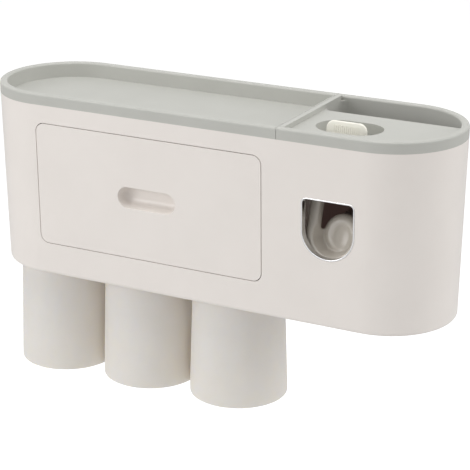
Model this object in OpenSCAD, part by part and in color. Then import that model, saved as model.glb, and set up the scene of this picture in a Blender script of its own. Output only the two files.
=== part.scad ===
// Wall-mounted bathroom unit: a long white housing with round ends carries a drawer,
// a toothpaste pump behind a small window, a grey tray and cover on top, and three
// tumblers that hang upside down from magnets under its floor.
// Millimetres. The origin is the middle of the wall face, +X runs along the unit to
// the right, +Y points into the wall and +Z up. The front faces -Y.

/* [Housing] */
// Length of the housing, end to end
body_length = 360; // [352:2:400]
// Depth of the shell, front to back
body_depth = 103; // [103:1:112]
// Height of the white shell, without the grey rim
shell_height = 129; // [128:1:140]
// Thickness of the shell's walls
shell_wall = 2.4; // [2:0.1:2.8]
// Thickness of the shell's floor
shell_floor = 2.6; // [2.2:0.1:3.4]
// How far each side draws in from top to foot
draft_inset = 2.4; // [1.6:0.2:2.8]
// Radius of the edge round the foot
foot_radius = 3; // [2:0.25:4]
// Thickness of the two partitions inside
partition_wall = 2.4; // [1.8:0.1:3]

/* [Wall panel] */
// Width of the panel on the back
panel_width = 236; // [216:4:240]
// Height of the panel
panel_height = 80; // [72:1:82]
// Thickness of the panel
panel_thickness = 5; // [4.5:0.1:5.4]
// How far the panel stands proud of the shell
panel_proud = 0.5; // [0.4:0.1:1]
// Distance between the two hanging keyholes
keyhole_spacing = 160; // [130:5:180]
// Radius of a keyhole's entry
keyhole_radius = 4.5; // [4:0.25:5.5]
// Radius of a keyhole's slot
keyhole_slot_radius = 2.5; // [2:0.25:3]

/* [Rim, tray and cover] */
// Height of the grey rim
rim_height = 8; // [7.5:0.5:10]
// Thickness of the rim
rim_wall = 5.5; // [5:0.25:6.5]
// Depth of the tray below the rim
tray_depth = 8.5; // [7.5:0.25:9.5]
// Thickness of the tray's floor
tray_floor = 2.5; // [2:0.1:3]
// Length of the cover, from its seam with the tray to the right end
cover_length = 113.7; // [113:0.1:114.5]
// Thickness of the tray's end wall
tray_end_wall = 1.9; // [1.6:0.1:2.2]
// Thickness of the cover's dividing wall
cover_divider = 3.75; // [3:0.25:5]
// Depth of the cover's platform below the rim
platform_drop = 3.5; // [3:0.25:4.5]
// Thickness of the platform
platform_thickness = 2.5; // [2:0.1:3]
// Width of the tube bay, front to back
bay_width = 30; // [28:0.5:31]
// Length of the finger well
well_length = 47.4; // [46:0.2:50]
// Width of the finger well
well_width = 31; // [29:0.5:33]
// Depth of the finger well
well_depth = 8; // [6:0.5:9]

/* [Drawer] */
// Distance from the housing's left end to the drawer's front
drawer_inset = 54.4; // [53:0.2:58]
// Height of the drawer's front
drawer_height = 90.7; // [86:0.1:92]
// Distance between the drawer's front and the window
drawer_clear = 30; // [28:0.5:34]
// Corner radius of the drawer's front
drawer_corner = 6.5; // [5:0.5:8]
// Gap line round the drawer's front
drawer_gap = 0.5; // [0.4:0.05:0.8]
// Thickness of the drawer's front
drawer_skin = 2.6; // [2.2:0.1:3]
// Depth of the skirt behind the drawer's front
drawer_skirt = 12.6; // [12.4:0.1:13.5]
// Wall of the drawer's bin
bin_wall = 2; // [1.6:0.1:2.4]
// Height of the drawer's bin
bin_height = 79; // [70:1:80]
// Width of the pull recess
pull_width = 47; // [40:1:56]
// Height of the pull recess
pull_height = 16; // [14:0.5:20]
// Depth of the pull recess
pull_depth = 9.5; // [7:0.5:10]

/* [Window] */
// Distance of the window's middle from the housing's right end
window_inset = 75.3; // [74:0.1:77]
// Width of the window, over its trim
window_width = 39.4; // [38.6:0.2:40]
// Height of the window, over its trim
window_height = 42.9; // [42:0.1:44]
// Corner radius at the top of the window
window_corner = 4; // [3:0.25:5]
// Width of the trim's bright edge
trim_edge = 1; // [0.8:0.1:1.2]
// Depth of the trim inside the window
trim_depth = 5; // [4.5:0.1:5.3]

/* [Pump] */
// Diameter of the lever's pin
pin_diameter = 4; // [3.5:0.25:4.5]
// Lean of the lever at rest, in degrees
lever_lean = 18; // [17:0.25:18.5]
// Thickness of the lever's arms
lever_thickness = 5; // [4:0.25:5.5]
// Width over the lever's two arms
lever_width = 41.2; // [40:0.2:42]
// Width of one arm
arm_width = 9.2; // [8:0.2:9.6]
// Radius of the lever's round pad
pad_radius = 13; // [12:0.25:13.5]
// Bore of the pump
pump_bore = 19; // [17:0.25:20]
// Wall of the pump's cylinder
pump_wall = 2.5; // [2:0.1:2.6]
// Bore of the paste's way through the pump
paste_bore = 4; // [3:0.25:4.5]
// Outer radius of the tube's socket
socket_radius = 12; // [10.5:0.25:12.5]
// Radius of the socket's mouth for the tube's neck
socket_bore = 7.5; // [6:0.25:8.5]
// Thickness of the plates that carry the pump
frame_plate = 2.5; // [2:0.1:3]

/* [Tumblers] */
// Distance from one tumbler to the next
cup_pitch = 74.3; // [74:0.1:76]
// Distance from the housing's left end to the left tumbler's middle
cup_inset = 45; // [43:0.5:47]
// Radius at the tumbler's mouth
cup_mouth_radius = 36.2; // [34:0.1:36.6]
// Radius at the tumbler's base
cup_base_radius = 33.7; // [32:0.1:34.4]
// Height of a tumbler
cup_height = 82.4; // [70:0.2:100]
// Wall of a tumbler
cup_wall = 2; // [1.6:0.1:2.6]
// Radius of the magnets
magnet_radius = 9.5; // [8:0.25:11]
// Thickness of the magnets
magnet_thickness = 2.5; // [2:0.1:3]

/* [Hidden] */
$fn = 72;
shell_white = [0.89, 0.87, 0.85];
rim_grey = [0.73, 0.76, 0.74];
bay_dark = [0.25, 0.23, 0.22];
steel = [0.6, 0.6, 0.62];
rubber_grey = [0.45, 0.46, 0.46];
bright = [0.85, 0.86, 0.88];
frosted = [0.8, 0.79, 0.77];

// Clearances: between fixed pieces that fit together, between loose bodies, at a pin
fit_gap = 0.2;
body_gap = 0.3;
pin_gap = 0.05;

// The housing
end_radius = body_depth / 2;
half_run = body_length / 2 - end_radius;
mid_y = -(end_radius + panel_proud);
front_y = mid_y - end_radius;
top_z = (shell_height + rim_height) / 2;
shell_top = top_z - rim_height;
foot_z = -top_z;
floor_z = foot_z + shell_floor;
foot_end_radius = end_radius - draft_inset;
draft_angle = atan(draft_inset / shell_height);
inner_radius = end_radius - shell_wall;
through = 2 * body_depth;

// Screws, all of one size
screw_radius = 1.5;
screw_head_radius = 3;
screw_head_height = 1.8;
screw_length = 8;
panel_screw_length = 6;
head_room = 10;
boss_radius = 4;
boss_height = 8;

// The wall panel and its seat
panel_z = foot_z + 14.5 + panel_height / 2;
panel_corner = 10;
seat_ledge = 7;
seat_margin = 5;
seat_depth = 4;
seat_y = -panel_thickness;
keyhole_z = 8;
keyhole_rise = 10;

// The rim, tray and cover, whose bay ends above the wall panel's frame
seam_x = body_length / 2 - cover_length;
rim_round = 1.5;
rim_inner = end_radius - rim_wall;
plug_radius = inner_radius - body_gap;
plug_wall = 2.2;
plug_bottom = shell_top - 3;
tray_floor_z = top_z - tray_depth;
tray_fillet = 3;
tray_right = seam_x - body_gap / 2;
cover_left = seam_x + body_gap / 2;
platform_z = top_z - platform_drop;
platform_y = mid_y + rim_inner - bay_width;
bay_reach = 34.5;
bay_wall = 2;
bay_corner = 6;
bay_bottom = panel_z + panel_height / 2 + seat_margin + 2;
well_y = mid_y - 17;
well_wall = 2;

// The window
window_x = body_length / 2 - window_inset;
bay_left = window_x - bay_reach;
window_bottom = -19.8;
window_arc_z = window_bottom + window_width / 2;
window_top = window_bottom + window_height;

// The drawer fills the front between its left margin and the window's
drawer_width = body_length - drawer_inset - drawer_clear - window_inset - window_width / 2;
drawer_x = drawer_inset + drawer_width / 2 - body_length / 2;
drawer_z = 1.55;
bin_half = drawer_width / 2 - 7.3;
flange_half = drawer_width / 2 - 0.8;
bin_top = drawer_z + drawer_height / 2 - 8.9;
bin_bottom = bin_top - bin_height;
bin_front = front_y + draft_inset + drawer_skirt;
bin_back = -14;
flange_thickness = 2.4;
ledge_thickness = 3;
rail_back = 3.2;
rail_head_depth = 2;
rail_inner = bin_half + 1;
rail_outer = flange_half + 0.7 + rail_back;
rail_front = bin_front + 0.5;
rail_low = bin_top - flange_thickness - body_gap - ledge_thickness;
rail_high = bin_top + body_gap + ledge_thickness;
partition_top = tray_floor_z - tray_floor - 2;
partition_right = drawer_x + rail_outer;
partition_left = drawer_x - rail_outer - partition_wall;
pull_wall = 1.5;
pull_corner = 5;
skirt_wall = 2;

// The lever, which hangs from its pin and leans forward to its lower end
pin_radius = pin_diameter / 2;
pivot_y = -74;
pivot_z = 38;
eye_radius = pin_radius + 2.6;
lip_drop = 40.4;
lip_radius = lever_width / 2;
lip_wall = 3;
arm_round = 2;
lip_round = 1.4;
pad_drop = 44;
pad_set = 10;
pad_thickness = 3.5;
nose_radius = 4;
nose_length = 2.5;
nose_back = pad_set + pad_thickness + nose_length;
pump_z = pivot_z - nose_back * sin(lever_lean) - pad_drop * cos(lever_lean);
nose_y = pivot_y + nose_back * cos(lever_lean) - pad_drop * sin(lever_lean)
    + nose_radius * sin(lever_lean);

// The pump
bore_radius = pump_bore / 2;
barrel_radius = bore_radius + pump_wall;
plunger_face = nose_y + body_gap;
barrel_front = -62;
barrel_back = -44.5;
piston_back = -57.5;
piston_length = 4.5;
seal_width = 1.6;
seal_depth = 1.4;
seal_gap = 0.05;
port_y = -49.5;
port_radius = 4.4;
port_top = pump_z + barrel_radius + 4.5;
port_foot = pump_z - barrel_radius - 4;
duct_radius = 4;
duct_z = 30;
nozzle_y = -86;
nozzle_tip = window_top + 0.2;
nipple_radius = 3.5;
nipple_length = 6.5;

// The plates that carry the pump
cheek_inner = lever_width / 2 + 2.4;
cheek_outer = cheek_inner + frame_plate;
cheek_front = -86;
frame_back = barrel_back + frame_plate;
frame_low = -22;
cheek_drop = 9;
cheek_step = 4;
cheek_waist = 10;
frame_high = 44;
roof_front = -66;
well_plate = 1.5;
grip_top = platform_z - well_depth;
grip_gap = 0.8;
grip_foot = 2;
peg_radius = 2;
peg_length = frame_plate - 0.2;
peg_half = 11;
peg_y = -58;
base_inner = cheek_outer + 0.4;
base_outer = base_inner + frame_plate;
shelf_top = port_foot - nipple_length - 2;
shelf_low = shelf_top - 3;
base_front = -60;
base_back = -9;
guide_high = 8;
foot_y = [-52, -20];
foot_reach = 9;
foot_low = floor_z + boss_height;
foot_high = foot_low + 3;
seat_radius = 6.2;
seat_height = 6;
socket_y = platform_y + bay_width / 2;
socket_height = 13;
pipe_radius = 4.5;
pipe_z = shelf_low - 5;

// The grip on top of the pump
grip_set = 7;
grip_y = well_y - grip_set;
grip_thickness = 3.6;
grip_tip = top_z + 1.7;
grip_half = 16;
grip_top_half = 11.85;
grip_corner = 4;
grip_rib = 0.5;

// The return spring on the lever's pin
spring_wire = 0.5;
spring_radius = pin_radius + 0.3 + spring_wire;
spring_turns = 6;
spring_pitch = 1.5;
spring_leg = 12;

// The tumblers
cup_y = mid_y - 3;
cup_top = foot_z - body_gap;
cup_corner = 3;
cup_base = 2.4;
cup_boss = 3.2;
cap_thickness = 0.9;
cup_x = [for (i = [0 : 2]) cup_inset + i * cup_pitch - body_length / 2];

// A rectangle with round corners, about its middle
module round_rect(width, height, corner) {
    square([width - 2 * corner, height], center = true);
    square([width, height - 2 * corner], center = true);
    for (x = [-1, 1], y = [-1, 1])
        translate([x * (width / 2 - corner), y * (height / 2 - corner)]) circle(r = corner);
}

// A slot with round ends, about its middle
module slot_2d(length, width) {
    square([length - width, width], center = true);
    for (x = [-1, 1]) translate([x * (length - width) / 2, 0]) circle(d = width);
}

// The plan of the housing at a given end radius
module plan_2d(radius) {
    translate([0, mid_y]) slot_2d(2 * (half_run + radius), 2 * radius);
}

// Extrudes an outline drawn on the front (X and Z) from front to front + depth in Y
module inward(front, depth) {
    translate([0, front + depth, 0]) rotate([90, 0, 0]) linear_extrude(depth) children();
}

// Moves a piece drawn against y = 0 and z measured from shell_top onto the drafted front
module on_front() {
    translate([0, front_y, shell_top]) rotate([draft_angle, 0, 0]) children();
}

// Sweeps a half section along the straight part, on both sides
module sweep_run(x0, x1) {
    translate([x0, mid_y, 0]) rotate([90, 0, 90]) linear_extrude(x1 - x0) {
        children();
        mirror([1, 0]) children();
    }
}

// Sweeps a half section round one end: side is 1 on the right and -1 on the left
module sweep_end(side) {
    translate([side * half_run, mid_y, 0]) rotate([0, 0, -90 * side])
        rotate_extrude(angle = 180) children();
}

// A tub with round ends: half its straight length, its radii and its rounded base
module tub(half, open_radius, base_radius, depth, corner) {
    module section() {
        polygon([[0, 0], [base_radius - corner, 0], [base_radius, corner],
            [open_radius, depth], [0, depth]]);
        intersection() {
            translate([base_radius - corner, corner]) circle(r = corner);
            translate([base_radius - corner, 0]) square(corner);
        }
    }
    for (side = [-1, 1]) translate([side * half, 0, 0]) rotate([0, 0, -90 * side])
        rotate_extrude(angle = 180) section();
    translate([-half, 0, 0]) rotate([90, 0, 90]) linear_extrude(2 * half) {
        section();
        mirror([1, 0]) section();
    }
}

// A pan-head screw that points down from z = 0, with a cross in its head
module screw(length) {
    difference() {
        union() {
            cylinder(r = screw_head_radius, h = screw_head_height);
            translate([0, 0, -length]) cylinder(r = screw_radius, h = length);
        }
        for (turn = [0, 90]) rotate([0, 0, turn]) translate([-1.6, -0.4, 0.8])
            cube([3.2, 0.8, 2]);
    }
}

// The hole that a screw of this length goes into
module screw_hole(length) {
    translate([0, 0, -length - 0.5]) cylinder(r = screw_radius + 0.1, h = length + 1);
}

// The outer form of the shell, and the space inside it
module shell_block() {
    translate([0, mid_y, foot_z])
        tub(half_run, end_radius, foot_end_radius, shell_height, foot_radius);
}
module shell_space() {
    translate([0, mid_y, floor_z])
        tub(half_run, inner_radius + 0.05, foot_end_radius - shell_wall + 0.05,
            shell_height - shell_floor + 1, 2);
}

// The outlines on the front: the drawer, the pull and the window
module drawer_outline(grow) {
    translate([drawer_x, drawer_z - shell_top])
        round_rect(drawer_width + 2 * grow, drawer_height + 2 * grow, drawer_corner + grow);
}
module window_outline(inset) {
    corner = window_corner - inset;
    half = window_width / 2 - inset;
    top = window_top - inset - shell_top;
    translate([window_x, window_arc_z - shell_top]) circle(r = half);
    translate([window_x - half, window_arc_z - shell_top])
        square([2 * half, top - corner - window_arc_z + shell_top]);
    translate([window_x - half + corner, window_arc_z - shell_top])
        square([2 * (half - corner), top - window_arc_z + shell_top]);
    for (side = [-1, 1])
        translate([window_x + side * (half - corner), top - corner]) circle(r = corner);
}

// Places of the screws that hold the wall panel
module at_panel_screws() {
    reach_x = panel_width / 2 - seat_ledge / 2;
    reach_z = panel_height / 2 - seat_ledge / 2;
    for (x = [-reach_x + panel_corner, 0, reach_x - panel_corner], z = [-reach_z, reach_z])
        translate([x, -screw_head_height - 0.4, panel_z + z]) rotate([-90, 0, 0])
            children();
}

// Places of the screws that hold the pump's base
module at_base_screws() {
    for (side = [-1, 1], y = foot_y)
        translate([window_x + side * (base_outer + foot_reach / 2), y, 0]) children();
}

// Places of the screws that hold the drawer's rails; side is 1 on the right
module at_rail_screws(side) {
    for (y = [rail_front + 8, bin_back - 6])
        translate([drawer_x + side * (rail_outer - rail_back + rail_head_depth), y,
            (rail_low + rail_high) / 2]) rotate([0, -90 * side, 0]) children();
}

module housing() {
    color(shell_white) difference() {
        union() {
            difference() {
                shell_block();
                shell_space();
            }
            intersection() {
                shell_block();
                union() {
                    housing_partitions();
                    housing_panel_seat();
                    housing_bosses();
                }
            }
        }
        on_front() {
            inward(-1, shell_wall + 6) drawer_outline(drawer_gap);
            inward(-1, shell_wall + 6) window_outline(0);
        }
        inward(seat_y, 20) translate([0, panel_z])
            round_rect(panel_width + 2 * fit_gap, panel_height + 2 * fit_gap,
                panel_corner + fit_gap);
        for (x = cup_x) translate([x, cup_y, floor_z])
            cylinder(r = magnet_radius + fit_gap, h = 10);
        at_panel_screws() screw_hole(panel_screw_length);
        at_base_screws() translate([0, 0, foot_high]) screw_hole(screw_length);
        for (side = [-1, 1]) at_rail_screws(side) screw_hole(panel_screw_length);
    }
}

// Two partitions beside the drawer
module housing_partitions() {
    for (x = [partition_left, partition_right])
        translate([x, front_y, foot_z]) cube([partition_wall, body_depth, partition_top - foot_z]);
}

// The frame in the back wall on which the wall panel seats
module housing_panel_seat() {
    inward(seat_y - seat_depth, seat_depth + 4) translate([0, panel_z]) difference() {
        round_rect(panel_width + 2 * seat_margin, panel_height + 2 * seat_margin,
            panel_corner + seat_margin);
        round_rect(panel_width - 2 * seat_ledge, panel_height - 2 * seat_ledge,
            panel_corner - seat_ledge + 3);
    }
}

// Bosses under the pump's base, round cups for the magnets, and pads behind rail screws
module housing_bosses() {
    at_base_screws() translate([0, 0, floor_z - 1])
        cylinder(r = boss_radius, h = boss_height + 1);
    for (x = cup_x) translate([x, cup_y, floor_z - 1])
        cylinder(r = magnet_radius + fit_gap + 2, h = magnet_thickness + cap_thickness + 1);
    for (side = [-1, 1]) at_rail_screws(side)
        translate([0, 0, -panel_screw_length - 1]) cylinder(r = boss_radius,
            h = panel_screw_length + 1 - (rail_back - rail_head_depth));
}

module back_panel() {
    color(shell_white) difference() {
        inward(seat_y, panel_thickness) translate([0, panel_z])
            round_rect(panel_width, panel_height, panel_corner);
        at_panel_screws() {
            screw_hole(panel_screw_length);
            cylinder(r = screw_head_radius + body_gap, h = head_room);
        }
        for (side = [-1, 1]) inward(seat_y - 1, panel_thickness + 2)
            translate([side * keyhole_spacing / 2, keyhole_z]) {
                circle(r = keyhole_radius);
                translate([0, keyhole_rise]) circle(r = keyhole_slot_radius);
                translate([-keyhole_slot_radius, 0])
                    square([2 * keyhole_slot_radius, keyhole_rise]);
            }
    }
}

module panel_screws() {
    color(steel) at_panel_screws() screw(panel_screw_length);
}

module window_trim() {
    color(bright) on_front() difference() {
        inward(-0.3, trim_depth + 0.3) window_outline(0.1);
        inward(-1, trim_depth + 2) window_outline(trim_edge);
    }
}

// A rail is a channel on its side: two ledges on a back plate; side is 1 on the right
module drawer_rail(side) {
    color(bay_dark) difference() {
        translate([drawer_x, 0, 0]) mirror([side < 0 ? 1 : 0, 0, 0])
            translate([0, rail_front, 0]) rotate([-90, 0, 0])
                linear_extrude(bin_back - rail_front) scale([1, -1]) polygon([
                    [rail_outer, rail_low], [rail_outer, rail_high], [rail_inner, rail_high],
                    [rail_inner, rail_high - ledge_thickness],
                    [rail_outer - rail_back, rail_high - ledge_thickness],
                    [rail_outer - rail_back, rail_low + ledge_thickness],
                    [rail_inner, rail_low + ledge_thickness], [rail_inner, rail_low]]);
        at_rail_screws(side) {
            screw_hole(panel_screw_length);
            cylinder(r = screw_head_radius + body_gap, h = head_room);
        }
    }
}
module drawer_rail_left() { drawer_rail(-1); }
module drawer_rail_right() { drawer_rail(1); }

module rail_screws() {
    color(steel) for (side = [-1, 1]) at_rail_screws(side) screw(panel_screw_length);
}

module seat_magnets() {
    color(steel) for (x = cup_x) translate([x, cup_y, floor_z])
        cylinder(r = magnet_radius, h = magnet_thickness);
}

module magnet_caps() {
    color(shell_white) for (x = cup_x) translate([x, cup_y, floor_z + magnet_thickness])
        cylinder(r = magnet_radius, h = cap_thickness);
}

// The base stands on the floor and guides the pump, which lifts out of it upwards
module pump_base() {
    color(bay_dark) translate([window_x, 0, 0]) difference() {
        union() {
            for (side = [-1, 1]) mirror([side < 0 ? 1 : 0, 0, 0]) {
                translate([base_inner, base_front, floor_z])
                    cube([frame_plate, base_back - base_front, shelf_top - floor_z]);
                translate([base_inner, base_front, shelf_low])
                    cube([frame_plate, 24, guide_high - shelf_low]);
                translate([cheek_inner, frame_back + body_gap, shelf_top - 1])
                    cube([base_outer - cheek_inner, 2, guide_high - shelf_top + 1]);
                for (y = foot_y) translate([base_outer - 1, y - 5, foot_low])
                    cube([foot_reach + 1, 10, foot_high - foot_low]);
            }
            translate([-base_outer, base_front, shelf_low])
                cube([2 * base_outer, base_back - base_front, shelf_top - shelf_low]);
            translate([0, port_y, shelf_top - 1]) cylinder(r = seat_radius, h = seat_height + 1);
        }
        translate([0, port_y, shelf_top]) cylinder(r = nipple_radius + body_gap, h = 20);
        for (y = [port_y, socket_y]) translate([0, y, shelf_low - 1])
            cylinder(r = paste_bore / 2, h = 8);
        translate([-window_x, 0, foot_high]) at_base_screws() screw_hole(screw_length);
    }
}

module base_screws() {
    color(steel) at_base_screws() translate([0, 0, foot_high]) screw(screw_length);
}

// A soft ring that grips the neck of the tube stood on its head in the bay
module tube_socket() {
    color(rubber_grey) translate([window_x, socket_y, shelf_top]) rotate_extrude() {
        difference() {
            union() {
                square([socket_radius, socket_height - 1]);
                square([socket_radius - 1, socket_height]);
                translate([socket_radius - 1, socket_height - 1]) circle(r = 1);
            }
            square([paste_bore / 2, 3 * socket_height], center = true);
            translate([0, 3]) square([socket_bore, socket_height]);
            polygon([[0, socket_height - 3], [socket_bore, socket_height - 3],
                [socket_bore + 2, socket_height + 1], [0, socket_height + 1]]);
        }
    }
}

// The pipe under the shelf that leads from the tube's socket to the pump's seat
module inlet_pipe() {
    color(rubber_grey) translate([window_x, 0, 0]) difference() {
        union() {
            for (y = [port_y, socket_y]) translate([0, y, pipe_z]) {
                cylinder(r = pipe_radius, h = shelf_low - pipe_z);
                sphere(r = pipe_radius);
            }
            translate([0, port_y, pipe_z]) rotate([-90, 0, 0])
                cylinder(r = pipe_radius, h = socket_y - port_y);
        }
        for (y = [port_y, socket_y]) translate([0, y, pipe_z])
            cylinder(r = paste_bore / 2, h = shelf_low - pipe_z + 1);
        translate([0, port_y, pipe_z]) rotate([-90, 0, 0])
            cylinder(r = paste_bore / 2, h = socket_y - port_y);
    }
}

// Half section of the rim: a wall with a rounded top, down to the plug inside the shell
module rim_section() {
    translate([rim_inner, shell_top]) square([rim_wall, rim_height - rim_round]);
    translate([rim_inner + rim_round, shell_top])
        square([rim_wall - 2 * rim_round, rim_height]);
    for (r = [rim_inner + rim_round, end_radius - rim_round])
        translate([r, top_z - rim_round]) circle(r = rim_round);
    translate([plug_radius - plug_wall, plug_bottom])
        square([plug_wall, shell_top - plug_bottom + 1]);
}

// Half section of the tray, whose floor runs into the rim with a fillet
module tray_section() {
    rim_section();
    translate([0, tray_floor_z - tray_floor]) square([plug_radius, tray_floor]);
    translate([rim_inner, tray_floor_z - 0.1]) square([plug_radius - rim_inner, 2]);
    difference() {
        translate([rim_inner - tray_fillet, tray_floor_z - 0.5])
            square([tray_fillet + 0.5, tray_fillet + 0.5]);
        translate([rim_inner - tray_fillet, tray_floor_z + tray_fillet])
            circle(r = tray_fillet);
    }
}

module tray() {
    color(rim_grey) {
        sweep_end(-1) tray_section();
        sweep_run(-half_run, tray_right) tray_section();
        translate([tray_right - tray_end_wall, mid_y, 0]) intersection() {
            rotate([90, 0, 90]) linear_extrude(tray_end_wall) {
                translate([-plug_radius, tray_floor_z - tray_floor])
                    square([2 * plug_radius, tray_floor + tray_depth - rim_round]);
                translate([-rim_inner - 1, tray_floor_z])
                    square([2 * rim_inner + 2, tray_depth]);
            }
            translate([-5, -through, tray_floor_z - tray_floor])
                cube([20, 2 * through, tray_depth + tray_floor]);
        }
    }
}

// The bay for the tube: what lies behind the platform, grown by a margin
module bay_2d(grow) {
    intersection() {
        plan_2d(rim_inner + grow);
        translate([bay_left - grow + body_depth, platform_y + bay_width / 2])
            round_rect(2 * body_depth, bay_width + 2 * grow, bay_corner + grow);
    }
}
module well_2d(grow) {
    translate([window_x, well_y]) slot_2d(well_length + 2 * grow, well_width + 2 * grow);
}

module dispenser_cover() {
    color(rim_grey) {
        difference() {
            union() {
                sweep_end(1) rim_section();
                sweep_run(cover_left, half_run) rim_section();
                translate([0, 0, platform_z - platform_thickness])
                    linear_extrude(platform_thickness) intersection() {
                        plan_2d(rim_inner + 1);
                        translate([cover_left, -through]) square([body_length, 2 * through]);
                    }
                translate([0, 0, plug_bottom]) linear_extrude(top_z - plug_bottom)
                    intersection() {
                        plan_2d(rim_inner + 1);
                        translate([cover_left, -through]) square([cover_divider, 2 * through]);
                    }
                translate([0, 0, bay_bottom]) linear_extrude(platform_z - bay_bottom)
                    bay_2d(bay_wall);
                translate([0, 0, grip_top - well_plate])
                    linear_extrude(platform_z - grip_top + well_plate) well_2d(well_wall);
            }
            translate([0, 0, bay_bottom - 1]) linear_extrude(through) bay_2d(0);
            translate([0, 0, grip_top - 5]) linear_extrude(through) well_2d(0);
        }
    }
}

// The plate pressed into the foot of the finger well, with a slot for the grip
module well_floor() {
    color(rim_grey) translate([0, 0, grip_top - well_plate]) linear_extrude(well_plate)
        difference() {
            well_2d(-fit_gap);
            translate([window_x - grip_half - grip_gap, grip_y - grip_gap])
                square([2 * (grip_half + grip_gap), grip_thickness + 2 * grip_gap]);
        }
}

// The front has a skirt behind it, so that the pull's pocket is hidden from the bin
module drawer_front() {
    color(shell_white) difference() {
        union() {
            on_front() {
                inward(0, drawer_skin) drawer_outline(0);
                difference() {
                    inward(drawer_skin - 0.5, drawer_skirt - 0.4 - drawer_skin) drawer_outline(0);
                    inward(-1, drawer_skirt + 2) translate([drawer_x, drawer_z - shell_top])
                        round_rect(drawer_width - 2 * skirt_wall,
                            drawer_height - 2 * skirt_wall, drawer_corner - skirt_wall);
                }
                translate([drawer_x, pull_depth + pull_wall, drawer_z - shell_top])
                    rotate([90, 0, 0])
                        tub((pull_width - pull_height) / 2, pull_height / 2 + pull_wall,
                            pull_height / 2 + pull_wall - 1, pull_depth + pull_wall - 1,
                            pull_corner);
            }
            at_drawer_screws() translate([0, 0, -drawer_skirt])
                cylinder(r = boss_radius, h = drawer_skirt);
        }
        on_front() translate([drawer_x, pull_depth, drawer_z - shell_top])
            rotate([90, 0, 0]) tub((pull_width - pull_height) / 2, pull_height / 2,
                pull_height / 2 - 1, pull_depth + 1, pull_corner);
        at_drawer_screws() screw_hole(screw_length - 2);
    }
}

// Places of the screws that hold the bin to its front, seen from inside the bin
module at_drawer_screws() {
    for (x = [-1, 1], z = [bin_bottom + 12, bin_top - 12])
        translate([drawer_x + x * (bin_half - 14), bin_front, z])
            rotate([-90, 0, 0]) children();
}

module drawer_bin() {
    corner = 4;
    length = bin_back - bin_front;
    color(shell_white) difference() {
        union() {
            translate([drawer_x, (bin_front + bin_back) / 2, bin_bottom])
                linear_extrude(bin_height) round_rect(2 * bin_half, length, corner);
            translate([drawer_x - flange_half, bin_front, bin_top - flange_thickness])
                cube([2 * flange_half, length, flange_thickness]);
        }
        translate([drawer_x, (bin_front + bin_back) / 2, bin_bottom + bin_wall])
            linear_extrude(bin_height)
                round_rect(2 * (bin_half - bin_wall), length - 2 * bin_wall, corner - bin_wall);
        at_drawer_screws() translate([0, 0, bin_wall]) screw_hole(screw_length);
    }
}

module drawer_screws() {
    color(steel) at_drawer_screws() translate([0, 0, bin_wall]) screw(screw_length - 1);
}

// The ribbed tab stands up through the slot in the finger well, and its foot lies on the
// pump's top plate, held by two pegs
module grip_tab() {
    low = frame_high + grip_foot / 2;
    color(shell_white) translate([window_x, 0, 0]) {
        translate([-grip_half, grip_y, frame_high])
            cube([2 * grip_half, peg_y + 2 * peg_radius - grip_y, grip_foot]);
        inward(grip_y, grip_thickness) {
            polygon([[-grip_half, low], [grip_half, low],
                [grip_half, grip_top + 3], [grip_top_half, grip_tip - grip_corner],
                [grip_top_half - grip_corner, grip_tip],
                [grip_corner - grip_top_half, grip_tip], [-grip_top_half, grip_tip - grip_corner],
                [-grip_half, grip_top + 3]]);
            for (side = [-1, 1])
                translate([side * (grip_top_half - grip_corner), grip_tip - grip_corner])
                    circle(r = grip_corner);
        }
        for (i = [-4 : 4]) translate([i * 2.2, grip_y, grip_top + 1])
            cylinder(r = grip_rib, h = grip_tip - grip_top - 4);
        at_grip_pegs() translate([0, 0, -peg_length])
            cylinder(r = peg_radius, h = peg_length + grip_foot / 2);
    }
}

// Places of the two pegs that hold the grip's foot on the pump's top plate
module at_grip_pegs() {
    for (side = [-1, 1]) translate([side * peg_half, peg_y, frame_high]) children();
}

// Two cheeks, a back plate and a top plate, on which the grip's foot lies
module pump_frame() {
    color(bay_dark) translate([window_x, 0, 0]) difference() {
        union() {
            for (side = [-1, 1]) mirror([side < 0 ? 1 : 0, 0, 0]) {
                translate([cheek_inner, 0, 0]) rotate([90, 0, 90]) linear_extrude(frame_plate)
                    polygon([[cheek_front, pivot_z - cheek_drop],
                        [cheek_front, frame_high - cheek_step],
                        [cheek_front + cheek_step, frame_high], [frame_back, frame_high],
                        [frame_back, shelf_top + body_gap],
                        [frame_back - 2 * cheek_step, shelf_top + body_gap],
                        [barrel_front - cheek_step, frame_low],
                        [barrel_front - 1.5 * cheek_step, cheek_waist]]);
            }
            translate([-cheek_outer, barrel_back, shelf_top + body_gap])
                cube([2 * cheek_outer, frame_plate, frame_high - shelf_top - body_gap]);
            translate([-cheek_outer, roof_front, frame_high - frame_plate])
                cube([2 * cheek_outer, frame_back - roof_front, frame_plate]);
        }
        translate([-through, pivot_y, pivot_z]) rotate([0, 90, 0])
            cylinder(r = pin_radius + pin_gap, h = 2 * through);
        at_grip_pegs() translate([0, 0, -2 * frame_plate])
            cylinder(r = peg_radius + pin_gap, h = 3 * frame_plate);
        translate([0, barrel_back - 1, pump_z]) rotate([-90, 0, 0])
            cylinder(r = 6 + pin_gap, h = 10);
        translate([-seat_radius - 1, barrel_back - 1, shelf_top])
            cube([2 * seat_radius + 2, frame_plate + 2, seat_height + 1]);
    }
}

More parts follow.
